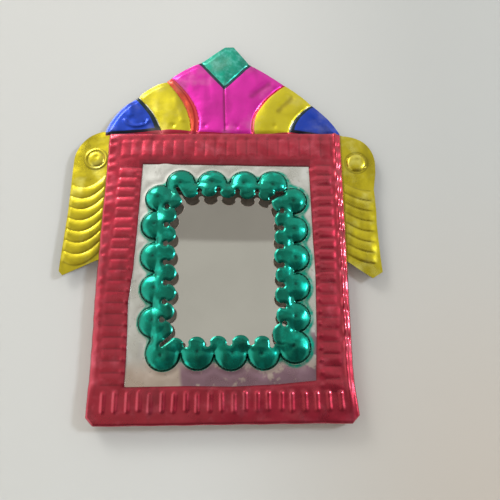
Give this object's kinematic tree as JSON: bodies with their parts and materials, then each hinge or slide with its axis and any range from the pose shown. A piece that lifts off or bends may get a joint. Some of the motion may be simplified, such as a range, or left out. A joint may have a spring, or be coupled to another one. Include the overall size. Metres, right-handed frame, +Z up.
{
  "type": "tin mirror",
  "caption": "Small wall mirror of embossed, lacquered tinwork: ribbed border, scalloped ring, fan crest, two fluted wings and a hinged hanging ring.",
  "frame": {"origin": "middle of the folded lip along the lower edge of the border, on the plane of the wall", "axes": "+Z up, -Y out of the mirror's front, +Y into the wall, +X to the viewer's right"},
  "size_m": [0.1219, 0.0077, 0.1529],
  "materials": {
    "red_lacquer": "translucent red lacquer on bright tin",
    "green_lacquer": "translucent green lacquer on bright tin",
    "crest_lacquer": "translucent lacquers in several colours on bright tin",
    "yellow_lacquer": "translucent yellow lacquer on bright tin",
    "bare_tin": "bright tinplate, smudged",
    "back_tin": "dull tinplate",
    "mirror_glass": "silvered glass",
    "grey_card": "grey pasteboard",
    "solder": "soft solder",
    "tinned_wire": "tinned wire"
  },
  "bodies": {
    "root": {"ribbed_border": "red_lacquer", "mirror_panel": "bare_tin", "scalloped_bezel": "green_lacquer", "crest": "crest_lacquer", "wing_left": "yellow_lacquer", "wing_right": "yellow_lacquer", "mirror_glass": "mirror_glass", "glass_clips": "bare_tin", "packing_card": "grey_card", "back_sheet": "back_tin", "crest_solder": "solder", "wing_solder": "solder", "hanger_strap": "back_tin", "hanger_solder": "solder"},
    "ring": {"hanger_ring": "tinned_wire"}
  },
  "joints": [
    {"name": "ring_swing", "type": "hinge", "parent": "root", "child": "ring", "pos_m": [0, -0.00175, 0.13484], "axis": [1, 0, 0], "range_deg": [0, 180]}
  ]
}
